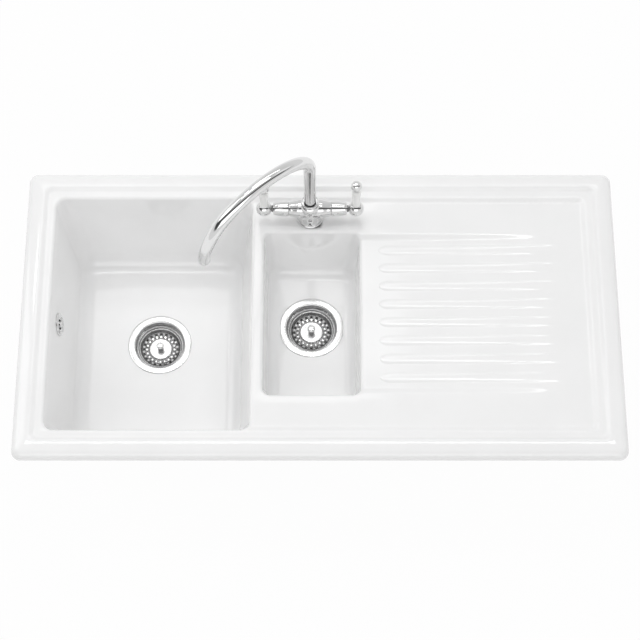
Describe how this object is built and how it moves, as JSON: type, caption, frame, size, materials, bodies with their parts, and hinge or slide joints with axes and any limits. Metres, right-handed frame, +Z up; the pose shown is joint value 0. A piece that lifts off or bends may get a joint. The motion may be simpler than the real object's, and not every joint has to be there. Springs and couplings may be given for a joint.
{
  "type": "kitchen sink with drainboard",
  "caption": "White ceramic inset sink with a main bowl, a small bowl and a ribbed drainboard, basket strainer wastes, a round overflow and a swan neck lever tap.",
  "frame": {"origin": "middle of the sink's outline, on the surface of the worktop that carries the rim", "axes": "+X towards the drainboard, +Y towards the tap at the back, +Z up"},
  "size_m": [1.01, 0.525, 0.5272],
  "materials": {
    "glaze": "glossy glaze",
    "porcelain": "glossy glaze",
    "chrome": "polished",
    "polished_steel": "polished",
    "steel": "plain",
    "brass": "machined",
    "rubber": "matte",
    "foam": "matte closed-cell foam",
    "white_plastic": "moulded",
    "grey_plastic": "moulded"
  },
  "bodies": {
    "sink": {"sink_body": "glaze", "worktop_seal": "foam", "main_flange": "polished_steel", "main_clamp_screw": "steel", "main_flange_gasket": "rubber", "main_under_gasket": "rubber", "main_outlet_cup": "white_plastic", "small_flange": "polished_steel", "small_clamp_screw": "steel", "small_flange_gasket": "rubber", "small_under_gasket": "rubber", "small_outlet_cup": "white_plastic", "overflow_rosette": "chrome", "overflow_screw": "chrome", "tap_base_ring": "chrome", "tap_body": "chrome", "tap_collar": "chrome", "overflow_gasket": "rubber", "tap_base_seal": "rubber", "tap_rubber_washer": "rubber", "overflow_elbow": "white_plastic", "overflow_pipe": "white_plastic", "overflow_upper_nut": "white_plastic", "overflow_lower_nut": "white_plastic", "tap_shank": "steel", "tap_steel_washer": "steel", "tap_back_nut": "brass", "tap_left_inlet": "brass", "tap_right_inlet": "brass", "left_sleeve": "chrome", "left_cartridge": "brass", "right_sleeve": "chrome", "right_cartridge": "brass"},
    "spout": {"spout": "chrome", "aerator": "grey_plastic", "tap_spout_seal": "rubber"},
    "left_handle": {"left_spindle": "brass", "left_hub": "chrome", "left_lever_stud": "steel", "left_lever": "porcelain", "left_finial": "chrome", "left_grub_screw": "steel"},
    "right_handle": {"right_spindle": "brass", "right_hub": "chrome", "right_lever_stud": "steel", "right_lever": "porcelain", "right_finial": "chrome", "right_grub_screw": "steel"},
    "main_strainer": {"main_basket": "polished_steel", "main_basket_seal": "rubber", "main_basket_knob": "polished_steel"},
    "small_strainer": {"small_basket": "polished_steel", "small_basket_seal": "rubber", "small_basket_knob": "polished_steel"}
  },
  "joints": [
    {"name": "spout_swivel", "type": "hinge", "parent": "sink", "child": "spout", "pos_m": [-0.017, 0.179, 0.0755], "axis": [0, 0, 1], "continuous": true},
    {"name": "left_lever_turn", "type": "hinge", "parent": "sink", "child": "left_handle", "pos_m": [-0.0955, 0.179, 0.045], "axis": [1, 0, 0], "range_deg": [0, 90]},
    {"name": "right_lever_turn", "type": "hinge", "parent": "sink", "child": "right_handle", "pos_m": [0.0615, 0.179, 0.045], "axis": [1, 0, 0], "range_deg": [0, 90]},
    {"name": "main_strainer_lift", "type": "slide", "parent": "sink", "child": "main_strainer", "axis": [0, 0, 1], "range_m": [0, 0.26]},
    {"name": "small_strainer_lift", "type": "slide", "parent": "sink", "child": "small_strainer", "axis": [0, 0, 1], "range_m": [0, 0.19]}
  ]
}
